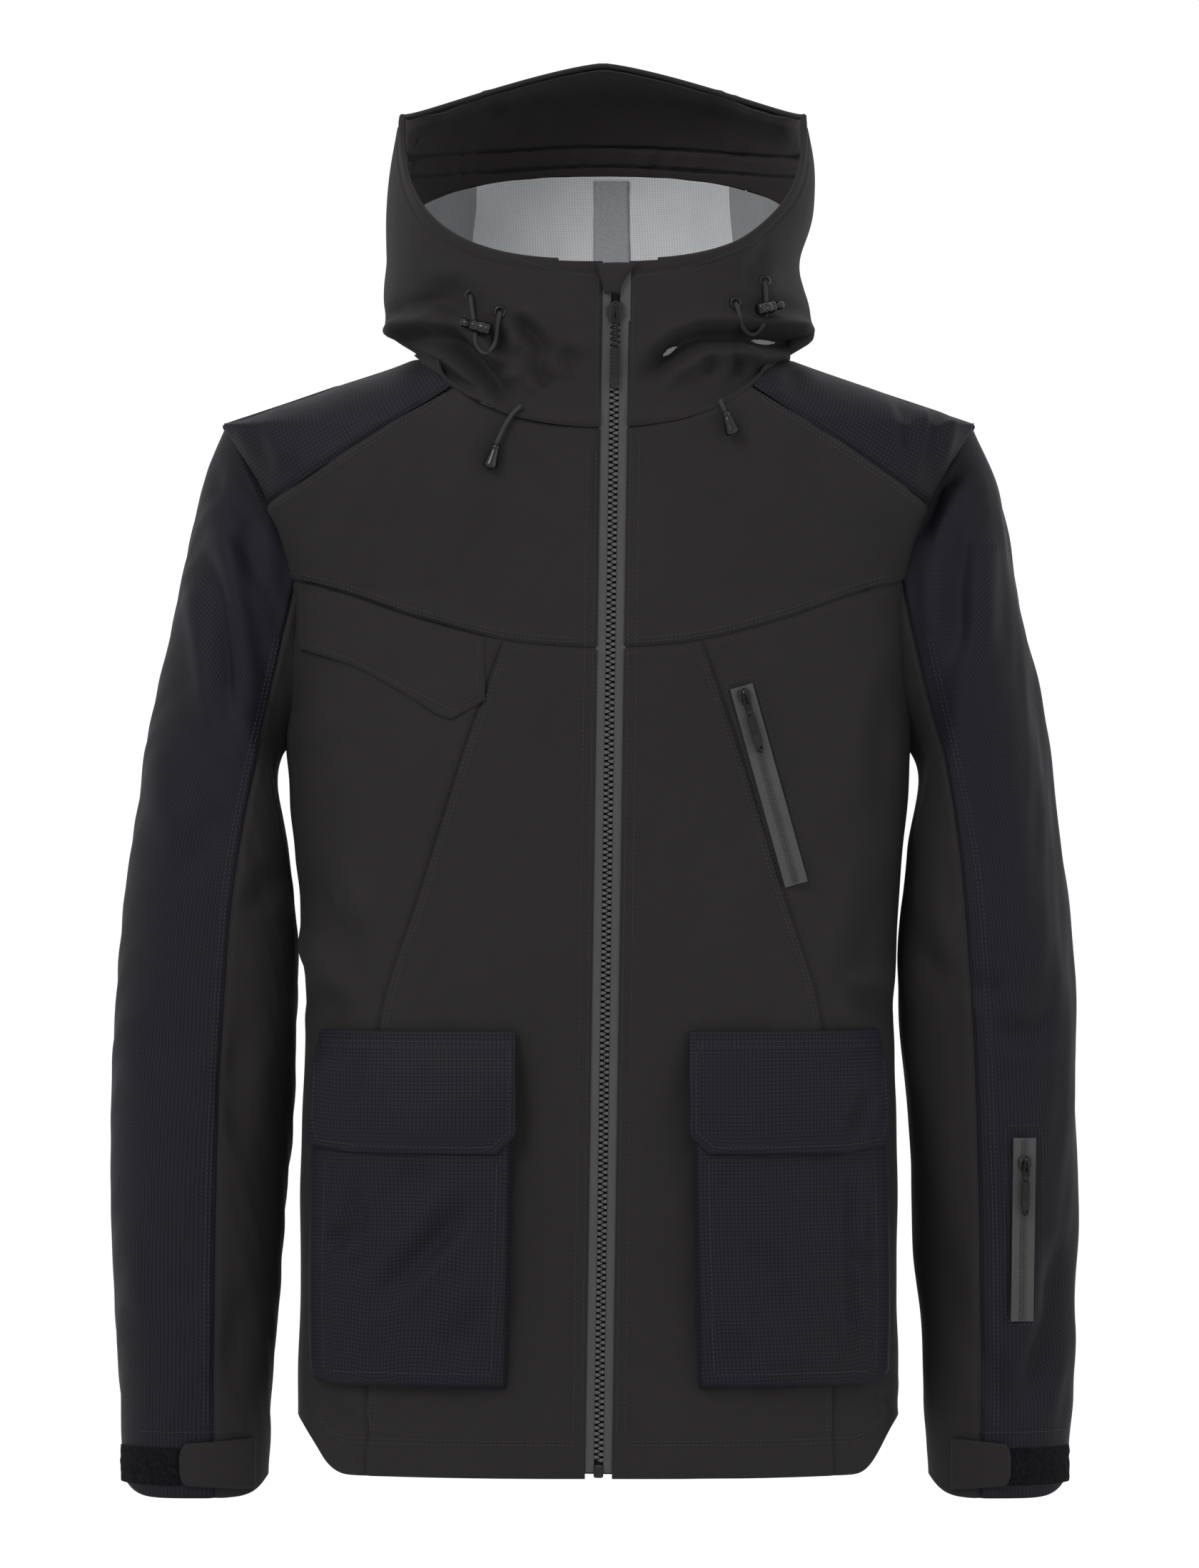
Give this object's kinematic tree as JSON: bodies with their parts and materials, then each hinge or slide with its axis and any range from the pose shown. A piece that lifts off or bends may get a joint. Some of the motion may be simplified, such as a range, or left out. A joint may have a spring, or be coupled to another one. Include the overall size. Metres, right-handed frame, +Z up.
{
  "type": "ski jacket",
  "caption": "Hooded insulated jacket hanging closed, with long sleeves, a front zip, flap pockets and adjustable cuffs and hood.",
  "frame": {"origin": "middle of the hang loop inside the back neck", "axes": "+Z up along the body, +X to the wearer's left, -Y out of the front"},
  "size_m": [0.6302, 0.2636, 0.927],
  "materials": {
    "softshell": "matte woven softshell",
    "ripstop": "fine ripstop weave with a slight sheen",
    "mesh_lining": "light grey mesh lining",
    "zip_tape": "twill zip tape",
    "moulded_plastic": "glossy moulded plastic",
    "hook_and_loop": "brushed loop pile",
    "cord": "braided elastic cord"
  },
  "bodies": {
    "jacket_body": {"right_shoulder_yoke": "ripstop", "left_shoulder_yoke": "ripstop", "right_chest_panel": "softshell", "left_chest_panel": "softshell", "right_front_panel": "softshell", "left_front_panel": "softshell", "right_side_panel": "softshell", "left_side_panel": "softshell", "upper_back_panel": "softshell", "lower_back_panel": "softshell", "body_lining": "mesh_lining", "right_hood_panel": "softshell", "left_hood_panel": "softshell", "centre_hood_panel": "softshell", "hood_brim_facing": "softshell", "hood_lining": "mesh_lining", "right_chin_guard": "softshell", "left_chin_guard": "softshell", "right_zip_tape": "zip_tape", "left_zip_tape": "zip_tape", "right_zip_teeth": "moulded_plastic", "left_zip_teeth": "moulded_plastic", "zip_bottom_box": "moulded_plastic", "zip_garage": "softshell", "right_cargo_pocket": "ripstop", "left_cargo_pocket": "ripstop", "chest_zip_strip": "zip_tape", "right_cord_lock": "moulded_plastic", "left_cord_lock": "moulded_plastic", "right_hood_cord": "cord", "left_hood_cord": "cord", "right_collar_cord": "cord", "left_collar_cord": "cord", "right_cord_end": "moulded_plastic", "left_cord_end": "moulded_plastic", "hang_loop": "softshell"},
    "main_zip_slider": {"zip_slider": "moulded_plastic"},
    "main_zip_pull": {"zip_pull": "moulded_plastic"},
    "chest_zip_slider": {"chest_zip_slider": "moulded_plastic"},
    "chest_zip_pull": {"chest_zip_pull": "moulded_plastic"},
    "sleeve_zip_slider": {"sleeve_zip_slider": "moulded_plastic"},
    "sleeve_zip_pull": {"sleeve_zip_pull": "moulded_plastic"},
    "chest_flap": {"chest_flap": "softshell"},
    "right_cargo_flap": {"right_cargo_flap": "ripstop"},
    "left_cargo_flap": {"left_cargo_flap": "ripstop"},
    "right_sleeve": {"right_sleeve_outer": "ripstop", "right_sleeve_under": "softshell", "right_cuff_strip": "hook_and_loop"},
    "left_sleeve": {"left_sleeve_outer": "ripstop", "left_sleeve_under": "softshell", "left_cuff_strip": "hook_and_loop", "sleeve_zip_strip": "zip_tape"},
    "right_cuff_tab": {"right_cuff_tab": "softshell"},
    "left_cuff_tab": {"left_cuff_tab": "softshell"},
    "right_lock_button": {"right_cord_lock_button": "moulded_plastic"},
    "left_lock_button": {"left_cord_lock_button": "moulded_plastic"}
  },
  "joints": [
    {"name": "main_zip", "type": "slide", "parent": "jacket_body", "child": "main_zip_slider", "axis": [-0.0147, -0.018, -0.9997], "range_m": [0, 0.728]},
    {"name": "main_zip_pull", "type": "hinge", "parent": "main_zip_slider", "child": "main_zip_pull", "pos_m": [0.00794, -0.16598, 0.02106], "axis": [-0.9999, 0.0001, 0.0147], "range_deg": [0, 150]},
    {"name": "chest_zip", "type": "slide", "parent": "jacket_body", "child": "chest_zip_slider", "axis": [0.2688, 0.0528, -0.9617], "range_m": [0, 0.118]},
    {"name": "chest_zip_pull", "type": "hinge", "parent": "chest_zip_slider", "child": "chest_zip_pull", "pos_m": [0.09042, -0.16972, -0.22691], "axis": [-0.9521, -0.1364, -0.2736], "range_deg": [0, 150]},
    {"name": "sleeve_zip", "type": "slide", "parent": "left_sleeve", "child": "sleeve_zip_slider", "axis": [-0.0117, 0.0556, -0.9984], "range_m": [0, 0.095]},
    {"name": "sleeve_zip_pull", "type": "hinge", "parent": "sleeve_zip_slider", "child": "sleeve_zip_pull", "pos_m": [0.27312, -0.11332, -0.52833], "axis": [-0.9787, -0.2054, 0], "range_deg": [0, 150]},
    {"name": "chest_flap_lift", "type": "hinge", "parent": "jacket_body", "child": "chest_flap", "pos_m": [-0.2, -0.12334, -0.15529], "axis": [-0.8775, 0.4085, 0.2512], "range_deg": [0, 100]},
    {"name": "right_cargo_flap_lift", "type": "hinge", "parent": "jacket_body", "child": "right_cargo_flap", "pos_m": [-0.055, -0.19145, -0.442], "axis": [-0.9109, 0.4126, 0], "range_deg": [0, 150]},
    {"name": "left_cargo_flap_lift", "type": "hinge", "parent": "jacket_body", "child": "left_cargo_flap", "pos_m": [0.055, -0.19145, -0.442], "axis": [-0.9109, -0.4126, 0], "range_deg": [0, 150]},
    {"name": "right_sleeve_swing", "type": "hinge", "parent": "jacket_body", "child": "right_sleeve", "pos_m": [-0.25, -0.054, -0.052], "axis": [0, 1, 0], "range_deg": [0, 40]},
    {"name": "left_sleeve_swing", "type": "hinge", "parent": "jacket_body", "child": "left_sleeve", "pos_m": [0.25, -0.054, -0.052], "axis": [0, -1, 0], "range_deg": [0, 40]},
    {"name": "right_cuff_tab_open", "type": "hinge", "parent": "right_sleeve", "child": "right_cuff_tab", "pos_m": [-0.2242, -0.078, -0.725], "axis": [0, 0, 1], "range_deg": [0, 90]},
    {"name": "left_cuff_tab_open", "type": "hinge", "parent": "left_sleeve", "child": "left_cuff_tab", "pos_m": [0.2242, -0.078, -0.725], "axis": [0, 0, -1], "range_deg": [0, 90]},
    {"name": "right_lock_press", "type": "slide", "parent": "jacket_body", "child": "right_lock_button", "axis": [0.8556, -0.4525, -0.2516], "range_m": [0, 0.003], "stiffness_N_per_m": 300, "springref_m": -0.001},
    {"name": "left_lock_press", "type": "slide", "parent": "jacket_body", "child": "left_lock_button", "axis": [-0.7118, -0.6805, -0.174], "range_m": [0, 0.003], "stiffness_N_per_m": 300, "springref_m": -0.001}
  ]
}
